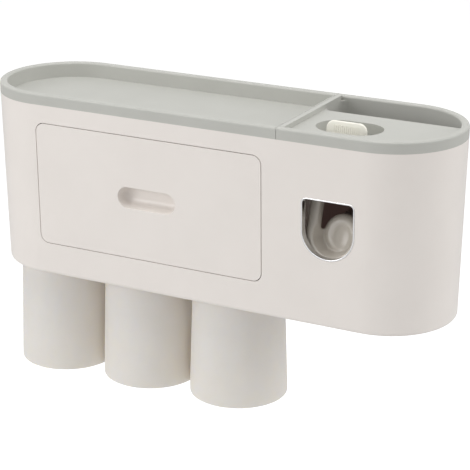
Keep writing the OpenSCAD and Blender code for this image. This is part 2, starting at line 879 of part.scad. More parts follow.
module pump_cylinder() {
    color(frosted) translate([window_x, 0, 0]) difference() {
        union() {
            translate([0, barrel_front, pump_z]) rotate([-90, 0, 0])
                cylinder(r = barrel_radius, h = barrel_back - barrel_front);
            translate([0, barrel_back - 1, pump_z]) rotate([-90, 0, 0])
                cylinder(r = 6, h = frame_plate + 1);
            translate([0, port_y, port_foot]) cylinder(r = port_radius, h = port_top - port_foot);
            translate([0, port_y, port_foot - nipple_length])
                cylinder(r = nipple_radius, h = nipple_length + 1);
        }
        translate([0, barrel_front - 1, pump_z]) rotate([-90, 0, 0])
            cylinder(r = bore_radius, h = barrel_back - barrel_front - 1);
        translate([0, port_y, port_foot - through / 2])
            cylinder(r = paste_bore / 2, h = through);
        for (z = [port_top - 2, port_foot - 1]) translate([0, port_y, z])
            cylinder(r = paste_bore / 2 + 1, h = 3);
    }
}

// Valves are soft discs with a hole, seated in the pump's two ports
module valve_disc() {
    color(rubber_grey) difference() {
        cylinder(r = paste_bore / 2 + 1 - pin_gap, h = 1.5);
        translate([-paste_bore / 2, -0.25, -1]) cube([paste_bore, 0.5, 4]);
    }
}
module inlet_valve() { translate([window_x, port_y, port_foot]) valve_disc(); }
module outlet_valve() { translate([window_x, port_y, port_top - 2]) valve_disc(); }

// The duct rises from the pump, turns forward over the brush and carries the nozzle
module outlet_duct() {
    color(frosted) translate([window_x, 0, 0]) difference() {
        union() {
            translate([0, port_y, port_top]) cylinder(r = duct_radius, h = duct_z - port_top);
            translate([0, port_y, duct_z]) sphere(r = duct_radius);
            translate([0, nozzle_y, duct_z]) rotate([-90, 0, 0])
                cylinder(r = duct_radius, h = port_y - nozzle_y);
            translate([0, nozzle_y, duct_z]) sphere(r = duct_radius);
            translate([0, nozzle_y, duct_z - duct_radius - 0.5])
                cylinder(r = duct_radius, h = duct_radius + 0.5);
        }
        translate([0, port_y, port_top - 1])
            cylinder(r = paste_bore / 2, h = duct_z - port_top + 1);
        translate([0, nozzle_y, duct_z]) rotate([-90, 0, 0])
            cylinder(r = paste_bore / 2, h = port_y - nozzle_y);
        translate([0, nozzle_y, duct_z - 10]) cylinder(r = paste_bore / 2, h = 10);
    }
}

module nozzle() {
    color(rubber_grey) translate([window_x, nozzle_y, nozzle_tip]) difference() {
        cylinder(r1 = 2.6, r2 = duct_radius, h = duct_z - duct_radius - 0.5 - nozzle_tip);
        translate([0, 0, -1]) cylinder(r = 1.4, h = 20);
    }
}

module lever_pin() {
    color(steel) translate([window_x - cheek_outer, pivot_y, pivot_z]) rotate([0, 90, 0])
        cylinder(r = pin_radius, h = 2 * cheek_outer);
}

// A closed tube through rings of points, six or more sides
module ring_tube(rings) {
    sides = len(rings[0]);
    count = len(rings);
    points = [for (ring = rings, p = ring) p];
    walls = [for (i = [0 : count - 2], j = [0 : sides - 1])
        let (a = i * sides + j, b = i * sides + (j + 1) % sides)
        each [[a, b, b + sides], [a, b + sides, a + sides]]];
    caps = [for (j = [1 : sides - 2])
        each [[0, j + 1, j], [(count - 1) * sides, (count - 1) * sides + j,
            (count - 1) * sides + j + 1]]];
    polyhedron(points = points, faces = concat(walls, caps), convexity = 10);
}

// The torsion spring: turns round the pin along X, then a leg back under the top plate
function spring_ring(x, turn) = [for (k = [0 : 5])
    let (r = spring_radius + spring_wire * cos(60 * k))
    [x + spring_wire * sin(60 * k), r * cos(turn), r * sin(turn)]];
module lever_spring() {
    steps = 12 * spring_turns;
    coil = [for (i = [0 : steps])
        spring_ring(spring_pitch * spring_turns * (i / steps - 0.5), 90 + 30 * i)];
    color(steel) translate([window_x, pivot_y, pivot_z]) {
        ring_tube(coil);
        translate([spring_pitch * spring_turns / 2, 0, spring_radius]) rotate([-90, 0, 0])
            rotate([0, 0, 30]) cylinder(r = spring_wire, h = spring_leg, $fn = 6);
    }
}

// The lever: two arms that run into a round lip, and a scoop from the lip back to the pad
module push_lever() {
    half = lever_width / 2;
    color(shell_white) translate([window_x, pivot_y, pivot_z]) rotate([-lever_lean, 0, 0])
        difference() {
            union() {
                for (side = [-1, 1]) mirror([side < 0 ? 1 : 0, 0, 0])
                    translate([half - arm_width, 0, 0]) {
                        rotate([0, 90, 0]) cylinder(r = eye_radius, h = arm_width);
                        translate([arm_width / 2, 0, -lip_drop]) linear_extrude(lip_drop)
                            round_rect(arm_width, lever_thickness, arm_round);
                    }
                translate([0, 0, -lip_drop]) rotate([-90, 0, 0]) rotate_extrude(angle = 180)
                    translate([lip_radius - lip_wall / 2, 0])
                        round_rect(lip_wall, lever_thickness, lip_round);
                intersection() {
                    difference() {
                        lever_scoop(0);
                        lever_scoop(lip_wall - 0.4);
                    }
                    translate([-through, -through, -through - lip_drop])
                        cube([2 * through, 2 * through, through]);
                }
                lever_pad();
            }
            translate([-through, 0, 0]) rotate([0, 90, 0])
                cylinder(r = pin_radius + pin_gap, h = 2 * through);
            translate([0, pad_set - 5.6, -pad_drop - 2.5]) scale([0.72, 1, 1.06])
                sphere(r = 8.2);
        }
}

// The scoop's outer form, or its inside when set in by a wall
module lever_scoop(inset) {
    hull() {
        inward(-lever_thickness / 2 + 1 - 3 * inset, 1) translate([0, -lip_drop])
            circle(r = lip_radius - 0.6 - inset, $fn = 48);
        inward(pad_set + pad_thickness - 1.5 - inset, 1) translate([0, -pad_drop])
            circle(r = pad_radius + 2.4 - inset, $fn = 48);
    }
}

// The pad: a disc with a rounded front edge, and a nose behind it that works the pump
module lever_pad() {
    round_edge = 3;
    translate([0, pad_set + pad_thickness, -pad_drop]) rotate([90, 0, 0]) {
        rotate_extrude() {
            square([pad_radius - round_edge, pad_thickness + 3]);
            square([pad_radius, pad_thickness + 3 - round_edge]);
            translate([pad_radius - round_edge, pad_thickness + 3 - round_edge])
                circle(r = round_edge);
        }
        translate([0, 0, -nose_length]) cylinder(r = nose_radius, h = nose_length + 1);
    }
}

module pump_plunger() {
    color(frosted) translate([window_x, 0, pump_z]) rotate([-90, 0, 0]) difference() {
        union() {
            translate([0, 0, plunger_face]) cylinder(r = 7.5, h = 2);
            translate([0, 0, plunger_face]) cylinder(r = 4.5, h = piston_back - plunger_face);
            translate([0, 0, piston_back - piston_length])
                cylinder(r = bore_radius - body_gap, h = piston_length);
        }
        translate([0, 0, piston_back - piston_length / 2 - seal_width / 2]) difference() {
            cylinder(r = bore_radius + 1, h = seal_width);
            translate([0, 0, -1]) cylinder(r = bore_radius - seal_depth, h = seal_width + 2);
        }
    }
}

module plunger_seal() {
    color(rubber_grey) translate([window_x, 0, pump_z]) rotate([-90, 0, 0])
        translate([0, 0, piston_back - piston_length / 2 - seal_width / 2]) difference() {
            cylinder(r = bore_radius - seal_gap, h = seal_width);
            translate([0, 0, -1]) cylinder(r = bore_radius - seal_depth, h = seal_width + 2);
        }
}

// A tumbler stands on its mouth: z runs from the mouth up to the base
module cup(i) {
    color(frosted) translate([cup_x[i], cup_y, cup_top - cup_height]) difference() {
        rotate_extrude() difference() {
            union() {
                polygon([[0, cup_wall / 2], [cup_mouth_radius, cup_wall / 2],
                    [cup_base_radius, cup_height - cup_corner],
                    [cup_base_radius - cup_corner, cup_height], [0, cup_height]]);
                translate([cup_base_radius - cup_corner, cup_height - cup_corner])
                    circle(r = cup_corner);
                translate([cup_mouth_radius - cup_wall / 2, cup_wall / 2])
                    circle(r = cup_wall / 2);
            }
            difference() {
                union() {
                    polygon([[0, -1], [cup_mouth_radius - cup_wall, -1],
                        [cup_mouth_radius - cup_wall, cup_wall / 2],
                        [cup_base_radius - cup_wall, cup_height - cup_base - cup_corner],
                        [cup_base_radius - cup_wall - cup_corner, cup_height - cup_base],
                        [0, cup_height - cup_base]]);
                    translate([cup_base_radius - cup_wall - cup_corner,
                        cup_height - cup_base - cup_corner]) circle(r = cup_corner);
                }
                translate([0, cup_height - cup_base - cup_boss])
                    square([magnet_radius + 2.5, cup_boss + 1]);
            }
        }
        translate([0, 0, cup_height - magnet_thickness - cap_thickness])
            cylinder(r = magnet_radius + fit_gap, h = 10);
    }
}
module cup_left() { cup(0); }
module cup_middle() { cup(1); }
module cup_right() { cup(2); }

module cup_magnet(i) {
    color(steel) translate([cup_x[i], cup_y, cup_top - cap_thickness - magnet_thickness])
        cylinder(r = magnet_radius, h = magnet_thickness);
}
module cup_magnet_left() { cup_magnet(0); }
module cup_magnet_middle() { cup_magnet(1); }
module cup_magnet_right() { cup_magnet(2); }

module cup_cap(i) {
    color(frosted) translate([cup_x[i], cup_y, cup_top - cap_thickness])
        cylinder(r = magnet_radius, h = cap_thickness);
}
module cup_cap_left() { cup_cap(0); }
module cup_cap_middle() { cup_cap(1); }
module cup_cap_right() { cup_cap(2); }

housing();
back_panel();
panel_screws();
window_trim();
drawer_rail_left();
drawer_rail_right();
rail_screws();
seat_magnets();
magnet_caps();
pump_base();
base_screws();
tube_socket();
inlet_pipe();
tray();
dispenser_cover();
drawer_front();
drawer_bin();
drawer_screws();
well_floor();
grip_tab();
pump_frame();
pump_cylinder();
inlet_valve();
outlet_valve();
outlet_duct();
nozzle();
lever_pin();
lever_spring();
push_lever();
pump_plunger();
plunger_seal();
cup_left();
cup_middle();
cup_right();
cup_magnet_left();
cup_magnet_middle();
cup_magnet_right();
cup_cap_left();
cup_cap_middle();
cup_cap_right();
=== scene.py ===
# A wall-mounted toothpaste dispenser with a drawer, a top tray and three hanging tumblers.
# Metres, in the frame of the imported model: the origin is the middle of the wall face,
# +X runs along the unit, +Y points into the wall and +Z up.
import math

import bmesh
import bpy
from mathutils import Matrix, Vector


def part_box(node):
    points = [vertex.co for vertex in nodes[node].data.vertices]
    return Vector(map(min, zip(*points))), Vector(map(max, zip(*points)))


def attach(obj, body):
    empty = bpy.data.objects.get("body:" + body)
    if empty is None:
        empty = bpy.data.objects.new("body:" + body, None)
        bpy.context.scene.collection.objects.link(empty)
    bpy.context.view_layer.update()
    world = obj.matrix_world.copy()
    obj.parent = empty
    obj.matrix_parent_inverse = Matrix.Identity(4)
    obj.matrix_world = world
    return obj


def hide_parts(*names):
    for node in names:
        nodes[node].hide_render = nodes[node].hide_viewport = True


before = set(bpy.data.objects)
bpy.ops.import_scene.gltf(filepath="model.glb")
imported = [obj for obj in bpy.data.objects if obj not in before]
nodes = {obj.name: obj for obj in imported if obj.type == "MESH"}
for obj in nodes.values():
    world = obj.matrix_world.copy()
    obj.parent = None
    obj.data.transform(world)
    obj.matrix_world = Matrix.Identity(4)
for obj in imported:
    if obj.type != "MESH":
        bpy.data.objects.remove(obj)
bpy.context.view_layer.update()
mm = 0.001

# The camera stands where the photograph was taken from, to the right and a little above,
# and its lens is long, so the housing's edges converge only slightly.
camera_place = Vector((0.5474, -1.0772, 0.3765))
camera_target = Vector((0.00744, -0.052, -0.03256))
camera_data = bpy.data.cameras.new("camera")
camera_data.lens = 130.24
camera_data.sensor_width = 36
camera_data.shift_x = 0.0037
camera_data.clip_start = 0.05
camera = bpy.data.objects.new("camera", camera_data)
camera.location = camera_place
camera.rotation_euler = (camera_target - camera_place).to_track_quat("-Z", "Y").to_euler()
bpy.context.scene.collection.objects.link(camera)
bpy.context.scene.camera = camera
bpy.context.scene.view_settings.view_transform = "Standard"


# Soft studio light: a broad lamp in front on the left, one on the right that stands behind
# the wall's plane and lights the round end, and one overhead. The pale world shows as white
# behind the unit and in its glossy faces.
def soft_lamp(name, place, size, power):
    """Adds a broad lamp that points at the middle of the unit."""
    lamp = bpy.data.lights.new(name, "AREA")
    lamp.shape = "RECTANGLE"
    lamp.size, lamp.size_y = size
    lamp.energy = power
    lamp_object = bpy.data.objects.new(name, lamp)
    lamp_object.location = place
    aim = camera_target - Vector(place)
    lamp_object.rotation_euler = aim.to_track_quat("-Z", "Y").to_euler()
    bpy.context.scene.collection.objects.link(lamp_object)


def shader_node(tree, kind, **values):
    """Adds a shader node and sets its inputs, with _ for a space in an input's name."""
    node = tree.nodes.new("ShaderNode" + kind)
    for name, value in values.items():
        node.inputs[name.replace("_", " ")].default_value = value
    return node


soft_lamp("front_lamp", place=(-1.25, -1.7, 0.6), size=(1.2, 1.2), power=16)
soft_lamp("right_lamp", place=(1.9, 0.45, 0.8), size=(1.4, 1.4), power=15)
soft_lamp("top_lamp", place=(0, -0.3, 1.7), size=(1.8, 1.4), power=18)

white = (1, 1, 1, 1)
world_glow = 0.42
world = bpy.data.worlds.new("studio")
world.use_nodes = True
bpy.context.scene.world = world
sky = world.node_tree
sky.nodes.clear()
ray = shader_node(sky, "LightPath")
shown = ray.outputs["Is Camera Ray"]
for kind in ("Is Glossy Ray", "Is Transmission Ray"):
    either = shader_node(sky, "Math")
    either.operation = "MAXIMUM"
    sky.links.new(shown, either.inputs[0])
    sky.links.new(ray.outputs[kind], either.inputs[1])
    shown = either.outputs[0]
glow = shader_node(sky, "Background", Color=white, Strength=world_glow)
backdrop = shader_node(sky, "Background", Color=white, Strength=1)
sky_mix = shader_node(sky, "MixShader")
sky.links.new(shown, sky_mix.inputs["Fac"])
sky.links.new(glow.outputs[0], sky_mix.inputs[1])
sky.links.new(backdrop.outputs[0], sky_mix.inputs[2])
sky_output = shader_node(sky, "OutputWorld")
sky.links.new(sky_mix.outputs[0], sky_output.inputs["Surface"])


# A plain pale floor, well below the tumblers because the unit hangs on a wall. It shows
# almost white to the camera and keeps the unit's soft shadow.
def add(operator, scale=(1, 1, 1), **values):
    """Adds a primitive as the only thing selected, with its place and scale in its mesh."""
    if bpy.context.mode != "OBJECT":
        bpy.ops.object.mode_set(mode="OBJECT")
    bpy.ops.object.select_all(action="DESELECT")
    operator(**values)
    bpy.context.object.scale = scale
    bpy.ops.object.transform_apply(location=True, rotation=True, scale=True)
    return bpy.context.object


floor_z = -0.45
floor_width = 12
floor_grey = (0.8, 0.8, 0.8, 1)
floor_lift = 0.6
floor = add(bpy.ops.mesh.primitive_plane_add, size=floor_width, location=(0, 0, floor_z))
floor.name = "floor"
floor_paint = bpy.data.materials.new("floor_paint")
floor_paint.use_nodes = True
paint = floor_paint.node_tree
paint.nodes.clear()
matte = shader_node(paint, "BsdfDiffuse", Color=floor_grey)
lift = shader_node(paint, "Emission", Color=white)
floor_ray = shader_node(paint, "LightPath")
seen_lift = shader_node(paint, "Math")
seen_lift.operation = "MULTIPLY"
seen_lift.inputs[1].default_value = floor_lift
paint.links.new(floor_ray.outputs["Is Camera Ray"], seen_lift.inputs[0])
paint.links.new(seen_lift.outputs[0], lift.inputs["Strength"])
both = shader_node(paint, "AddShader")
paint.links.new(matte.outputs[0], both.inputs[0])
paint.links.new(lift.outputs[0], both.inputs[1])
paint_output = shader_node(paint, "OutputMaterial")
paint.links.new(both.outputs[0], paint_output.inputs["Surface"])
floor.data.materials.append(floor_paint)


# The housing is one injection-moulded shell of warm white ABS, polished in the mould, with
# its partitions, screw bosses and magnet seats in one piece with the floor. Its edges are
# softened a little, as a mould leaves them.
def surface(name, colour, shade, rough, grain, relief, metal=0):
    """A finish whose colour drifts to shade over the piece, with a fine grain in relief."""
    drift = 30 * mm
    patch_edges = (0.35, 0.65)
    rough_change = 0.15
    relief_strength = 0.4
    material = bpy.data.materials.new(name)
    material.use_nodes = True
    tree = material.node_tree
    shader = tree.nodes["Principled BSDF"]
    shader.inputs["Metallic"].default_value = metal
    place = shader_node(tree, "TexCoord")
    cloud = shader_node(tree, "TexNoise", Scale=1 / drift, Detail=3)
    tone = shader_node(tree, "ValToRGB")
    for stop, edge, tint in zip(tone.color_ramp.elements, patch_edges, (shade, colour)):
        stop.position = edge
        stop.color = (*tint, 1)
    tree.links.new(place.outputs["Object"], cloud.inputs["Vector"])
    tree.links.new(cloud.outputs["Fac"], tone.inputs["Fac"])
    tree.links.new(tone.outputs["Color"], shader.inputs["Base Color"])
    skin = shader_node(tree, "TexNoise", Scale=1 / grain, Detail=2)
    gloss = shader_node(tree, "MapRange", To_Min=rough * (1 - rough_change),
        To_Max=rough * (1 + rough_change))
    bump = shader_node(tree, "Bump", Strength=relief_strength, Distance=relief)
    tree.links.new(place.outputs["Object"], skin.inputs["Vector"])
    tree.links.new(skin.outputs["Fac"], gloss.inputs["Value"])
    tree.links.new(gloss.outputs["Result"], shader.inputs["Roughness"])
    tree.links.new(skin.outputs["Fac"], bump.inputs["Height"])
    tree.links.new(bump.outputs["Normal"], shader.inputs["Normal"])
    return material


def dress(names, material):
    """Gives CAD pieces their finish."""
    for name in names:
        piece = nodes[name]
        piece.data.materials.clear()
        piece.data.materials.append(material)


def soften(name, radius):
    """Rounds the sharp edges of a CAD piece, without touching its mesh."""
    piece = nodes[name]
    weld = piece.modifiers.new("weld", "WELD")
    weld.merge_threshold = weld_gap
    edge = piece.modifiers.new("edge", "BEVEL")
    edge.width = radius
    edge.segments = 2
    edge.limit_method = "ANGLE"
    edge.angle_limit = math.radians(40)
    edge.use_clamp_overlap = False
    piece.modifiers.new("shade", "WEIGHTED_NORMAL")


weld_gap = 0.01 * mm
mould_edge = 0.15 * mm
shell_plastic = surface("shell_plastic", colour=(0.845, 0.795, 0.752),
    shade=(0.83, 0.78, 0.737), rough=0.3, grain=1.2 * mm, relief=0.02 * mm)
dress(["housing"], shell_plastic)
soften("housing", mould_edge)

# The wall panel is a flat moulding with two keyholes that closes the housing's back, and
# six plated screws hold it.
dress(["back_panel"], shell_plastic)
steel = surface("steel", colour=(0.55, 0.55, 0.56), shade=(0.5, 0.5, 0.51), rough=0.3,
    grain=2 * mm, relief=0.01 * mm, metal=1)
dress(["panel_screws"], steel)

# Three nickel-plated disc magnets lie in round seats in the housing's floor, each under a
# thin welded cap, and hold the tumblers up.
dress(["seat_magnets"], steel)
dress(["magnet_caps"], shell_plastic)

# The drawer runs on two dark channel rails, each screwed to a partition of the housing.
# The dark plastic has a faint painted glow, an emission that stands in for light straying
# round inside the real housing.
liner_plastic = surface("liner_plastic", colour=(0.12, 0.085, 0.075),
    shade=(0.10, 0.07, 0.062), rough=0.5, grain=0.6 * mm, relief=0.03 * mm)
liner_shader = liner_plastic.node_tree.nodes["Principled BSDF"]
# Painted light: a faint emission for the light that strays round inside the housing.
liner_shader.inputs["Emission Color"].default_value = (0.024, 0.015, 0.013, 1)
liner_shader.inputs["Emission Strength"].default_value = 1
dress(["drawer_rail_left", "drawer_rail_right"], liner_plastic)
dress(["rail_screws"], steel)

# The drawer's front is a polished moulding with a pull recess, and its bin is a plainer
# matt one, screwed on from inside.
dress(["drawer_front"], shell_plastic)
soften("drawer_front", mould_edge)
bin_plastic = surface("bin_plastic", colour=(0.76, 0.73, 0.70), shade=(0.74, 0.71, 0.68),
    rough=0.5, grain=0.6 * mm, relief=0.03 * mm)
dress(["drawer_bin"], bin_plastic)
dress(["drawer_screws"], steel)

# The pump's base is screwed to the housing's floor. The tube of paste stands on its head in
# a soft socket, from which a pipe leads under the shelf to the pump's seat.
dress(["pump_base", "inlet_pipe"], liner_plastic)
dress(["base_screws"], steel)
rubber = surface("rubber", colour=(0.10, 0.08, 0.075), shade=(0.09, 0.07, 0.065), rough=0.7,
    grain=0.6 * mm, relief=0.03 * mm)
dress(["tube_socket"], rubber)

# The pump lifts out as one unit: a dark frame, a smoke-grey cylinder with its plunger, two
# soft valves, and a duct that carries the paste forward to the nozzle over the brush.
dress(["pump_frame"], liner_plastic)
pump_plastic = surface("pump_plastic", colour=(0.26, 0.23, 0.215), shade=(0.24, 0.21, 0.20),
    rough=0.35, grain=0.6 * mm, relief=0.02 * mm)
dress(["pump_cylinder", "outlet_duct", "pump_plunger"], pump_plastic)
dress(["inlet_valve", "outlet_valve", "nozzle", "plunger_seal"], rubber)
dress(["lever_pin"], steel)


# The trim round the window is a chrome-plated moulding: a narrow bright bead on the front
# with a wall behind it that lines the opening.
def centre(node):
    """The middle of a CAD node's box."""
    low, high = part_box(node)
    return (low + high) / 2


def only(piece):
    """Leaves edit mode and makes the piece the only one selected."""
    if bpy.context.mode != "OBJECT":
        bpy.ops.object.mode_set(mode="OBJECT")
    bpy.ops.object.select_all(action="DESELECT")
    piece.select_set(True)
    bpy.context.view_layer.objects.active = piece


def edit(piece):
    """Opens the piece in edit mode, selected all over."""
    only(piece)
    bpy.ops.object.mode_set(mode="EDIT")
    bpy.ops.mesh.select_all(action="SELECT")


def pick(piece, kind, test):
    """Selects the vertices or faces of the open piece whose middle passes the test."""
    mesh = bmesh.from_edit_mesh(piece.data)
    bpy.ops.mesh.select_all(action="DESELECT")
    if kind == "VERT":
        for vertex in mesh.verts:
            vertex.select = test(vertex.co)
    else:
        for face in mesh.faces:
            face.select = test(face.calc_center_median())
    mesh.select_mode = {kind}
    mesh.select_flush_mode()
    bmesh.update_edit_mesh(piece.data)


def settle(piece, material, body):
    """Ends a new piece: place in its mesh, faces outwards, finish and body."""
    only(piece)
    bpy.ops.object.transform_apply(location=True, rotation=True, scale=True)
    edit(piece)
    bpy.ops.mesh.remove_doubles(threshold=fine_gap)
    bpy.ops.mesh.normals_make_consistent(inside=False)
    bpy.ops.object.mode_set(mode="OBJECT")
    bpy.ops.object.shade_smooth_by_angle(angle=math.radians(35))
    piece.data.materials.clear()
    piece.data.materials.append(material)
    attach(piece, body)


fine_gap = 0.001 * mm
near = 0.1 * mm
along_x = (0, math.radians(90), 0)
along_y = (math.radians(90), 0, 0)

trim_low, trim_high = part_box("window_trim")
trim_width = trim_high.x - trim_low.x
trim_height = trim_high.z - trim_low.z
trim_edge = 1 * mm
trim_corner = 4 * mm
trim_bead = 0.35 * mm
draft = math.radians(1.066)
trim_depth = trim_high.y - trim_low.y - trim_height * math.tan(draft)
window_trim = add(bpy.ops.mesh.primitive_plane_add, size=1, rotation=along_y,
    scale=(trim_width, trim_height, 1))
window_trim.name = "trim_bead"
edit(window_trim)
pick(window_trim, "VERT", lambda at: at.z < 0)
bpy.ops.mesh.bevel(offset=trim_width / 2, segments=32, affect="VERTICES")
pick(window_trim, "VERT", lambda at: at.z > trim_height / 2 - near)
bpy.ops.mesh.bevel(offset=trim_corner, segments=8, affect="VERTICES")
bpy.ops.mesh.select_all(action="SELECT")
bpy.ops.mesh.remove_doubles(threshold=weld_gap)
bpy.ops.mesh.inset(thickness=trim_edge)
bpy.ops.mesh.delete(type="FACE")
bpy.ops.mesh.select_all(action="SELECT")
bpy.ops.mesh.extrude_region_move(TRANSFORM_OT_translate={"value": (0, trim_depth, 0)})
pick(window_trim, "VERT", lambda at: at.y < near)
bpy.ops.mesh.bevel(offset=trim_bead, segments=4, affect="EDGES")
window_trim.rotation_euler = (draft, 0, 0)
window_trim.location = centre("window_trim") - Vector((0, trim_depth / 2, 0))
trim_plating = surface("trim_plating", colour=(0.86, 0.86, 0.87), shade=(0.84, 0.84, 0.85),
    rough=0.1, grain=2 * mm, relief=0.01 * mm, metal=1)
settle(window_trim, trim_plating, "housing")
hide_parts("window_trim")


# The push lever is one glossy pale moulding. Its warm grey colour is darkened as painted shade,
# for the shadow it sits in behind the window. Two arms hang from the pin and run into a round
# lip, and behind the lip a bowl holds a raised pad with an oval dimple, which the head of the
# toothbrush pushes back.
def apply_modifier(piece, kind, **settings):
    """Puts a modifier on the piece and applies it."""
    only(piece)
    modifier = piece.modifiers.new(kind.lower(), kind)
    for setting, value in settings.items():
        setattr(modifier, setting, value)
    bpy.ops.object.modifier_apply(modifier=modifier.name)


def fuse(piece):
    """Makes one skin of the forms in the piece."""
    apply_modifier(piece, "REMESH", mode="VOXEL", voxel_size=lever_voxel)


def cut(piece, tool):
    """Takes the tool's form out of the piece."""
    apply_modifier(piece, "BOOLEAN", operation="DIFFERENCE", object=tool, solver="EXACT")
    bpy.data.objects.remove(tool)


def join(piece, others):
    """Makes the others part of the piece."""
    only(piece)
    for other in others:
        other.select_set(True)
    bpy.ops.object.join()


def trim_off(piece, point, normal):
    """Cuts the piece at a plane, drops the side that the normal points to, and closes it."""
    edit(piece)
    bpy.ops.mesh.bisect(plane_co=point, plane_no=normal, use_fill=True, clear_outer=True)


def funnel(start, end, middle, shift, radius, profile):
    """A closed form along Y, whose round section follows the profile and shifts on its way."""
    form = add(bpy.ops.mesh.primitive_circle_add, vertices=72, fill_type="NGON", radius=radius,
        location=(0, start, middle), rotation=along_y)
    edit(form)
    steps = 12
    for step in range(1, steps + 1):
        (before, was), (after, now) = profile((step - 1) / steps), profile(step / steps)
        bpy.ops.mesh.extrude_region_move(TRANSFORM_OT_translate={"value":
            (0, (end - start) * (after - before), shift / steps)})
        bpy.ops.transform.resize(value=(now / was, 1, now / was))
    bpy.ops.mesh.select_all(action="SELECT")
    bpy.ops.mesh.normals_make_consistent(inside=False)
    return form


def domed(way):
    """How far along, and how wide, the bowl's back is: it rounds in towards its end."""
    turn = math.radians(90) * way
    return math.sin(turn), 1 - bowl_shrink * (1 - math.cos(turn)) ** bowl_curve


def flared(way):
    """The hollow narrows evenly from its open front to its floor."""
    return way, 1 + (hollow_floor / hollow_front - 1) * way


# The lever is shaped upright round its pin, with Y back from the pin and Z up, and leant
# forward at the end.
lever_low, lever_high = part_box("push_lever")
lever_half = (lever_high.x - lever_low.x) / 2
lever_lean = math.radians(18)
lever_voxel = 0.45 * mm
arm_width = 8.4 * mm
arm_front = -5.7 * mm
arm_back = 3.3 * mm
arm_round = 2.6 * mm
eye_radius = 4.6 * mm
lip_z = -42.8 * mm
lip_depth = 5 * mm
lip_round = 2.2 * mm
bowl_back = 11 * mm
bowl_radius = 19.6 * mm
bowl_shrink = 0.32
bowl_curve = 1.5
hollow_z = -46.2 * mm
hollow_front = 17.4 * mm
hollow_floor = 9 * mm
pad_x = 2.3 * mm
pad_z = -44.6 * mm
pad_radius = 14.2 * mm
pad_front = 2.6 * mm
pad_round = 5.5 * mm
pad_back_round = 2 * mm
dimple_x = 3.6 * mm
dimple_z = -46.4 * mm
dimple_depth = 2 * mm
dimple_size = (6.6 * mm, 2.6 * mm, 9.2 * mm)
nose_radius = 4 * mm
nose_back = 16 * mm
bore_radius = 2.15 * mm
bore_length = 3 * lever_half

lever_parts = []
for side in (-1, 1):
    arm_x = side * (lever_half - arm_width / 2)
    arm = add(bpy.ops.mesh.primitive_cube_add, size=1,
        location=(arm_x, (arm_front + arm_back) / 2, lip_z / 2 - arm_round),
        scale=(arm_width, arm_back - arm_front, -lip_z + 2 * arm_round))
    edit(arm)
    bpy.ops.mesh.bevel(offset=arm_round, segments=5, affect="EDGES")
    eye = add(bpy.ops.mesh.primitive_cylinder_add, vertices=48, radius=eye_radius,
        depth=arm_width, location=(arm_x, 0, 0), rotation=along_x)
    lever_parts += [arm, eye]
lip = add(bpy.ops.mesh.primitive_cylinder_add, vertices=96, radius=lever_half,
    depth=lip_depth, location=(0, arm_front + lip_depth / 2, lip_z), rotation=along_y)
edit(lip)
bpy.ops.mesh.bevel(offset=lip_round, segments=5, affect="EDGES")
trim_off(lip, (0, 0, lip_z), (0, 0, 1))
bowl = funnel(start=arm_front + lip_round, end=bowl_back, middle=lip_z, shift=pad_z - lip_z,
    radius=bowl_radius, profile=domed)
trim_off(bowl, (0, 0, lip_z), (0, 0, 1))
lever_parts += [lip, bowl]
push_lever = lever_parts[0]
join(push_lever, lever_parts[1:])
push_lever.name = "push_lever_skin"
fuse(push_lever)
cut(push_lever, funnel(start=2 * arm_front, end=pad_front + pad_round, middle=hollow_z, shift=0,
    radius=hollow_front, profile=flared))

pad = add(bpy.ops.mesh.primitive_cylinder_add, vertices=96, radius=pad_radius,
    depth=bowl_back - pad_front, location=(pad_x, (bowl_back + pad_front) / 2, pad_z),
    rotation=along_y)
edit(pad)
pick(pad, "VERT", lambda at: at.y < pad_front + near)
bpy.ops.mesh.bevel(offset=pad_round, segments=8, affect="EDGES")
pick(pad, "VERT", lambda at: at.y > bowl_back - near)
bpy.ops.mesh.bevel(offset=pad_back_round, segments=4, affect="EDGES")
nose_front = bowl_back - pad_back_round
nose = add(bpy.ops.mesh.primitive_cylinder_add, vertices=48, radius=nose_radius,
    depth=nose_back - nose_front, location=(0, (nose_back + nose_front) / 2, pad_z),
    rotation=along_y)
join(push_lever, [pad, nose])
fuse(push_lever)
cut(push_lever, add(bpy.ops.mesh.primitive_uv_sphere_add, segments=48, ring_count=24, radius=1,
    location=(dimple_x, pad_front + dimple_depth - dimple_size[1], dimple_z),
    scale=dimple_size))
cut(push_lever, add(bpy.ops.mesh.primitive_cylinder_add, vertices=48, radius=bore_radius,
    depth=bore_length, rotation=along_x))
fuse(push_lever)
apply_modifier(push_lever, "SMOOTH", factor=0.5, iterations=25)
push_lever.rotation_euler = (-lever_lean, 0, 0)
push_lever.location = centre("lever_pin")
# The lever's base colour is darker than its pale plastic: painted shade for the shadow deep in
# the window.
lever_plastic_painted_shade = surface("lever_plastic_painted_shade", colour=(0.555, 0.512, 0.45),
    shade=(0.535, 0.492, 0.43), rough=0.25, grain=0.6 * mm, relief=0.01 * mm)
settle(push_lever, lever_plastic_painted_shade, "lever")
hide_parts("push_lever")

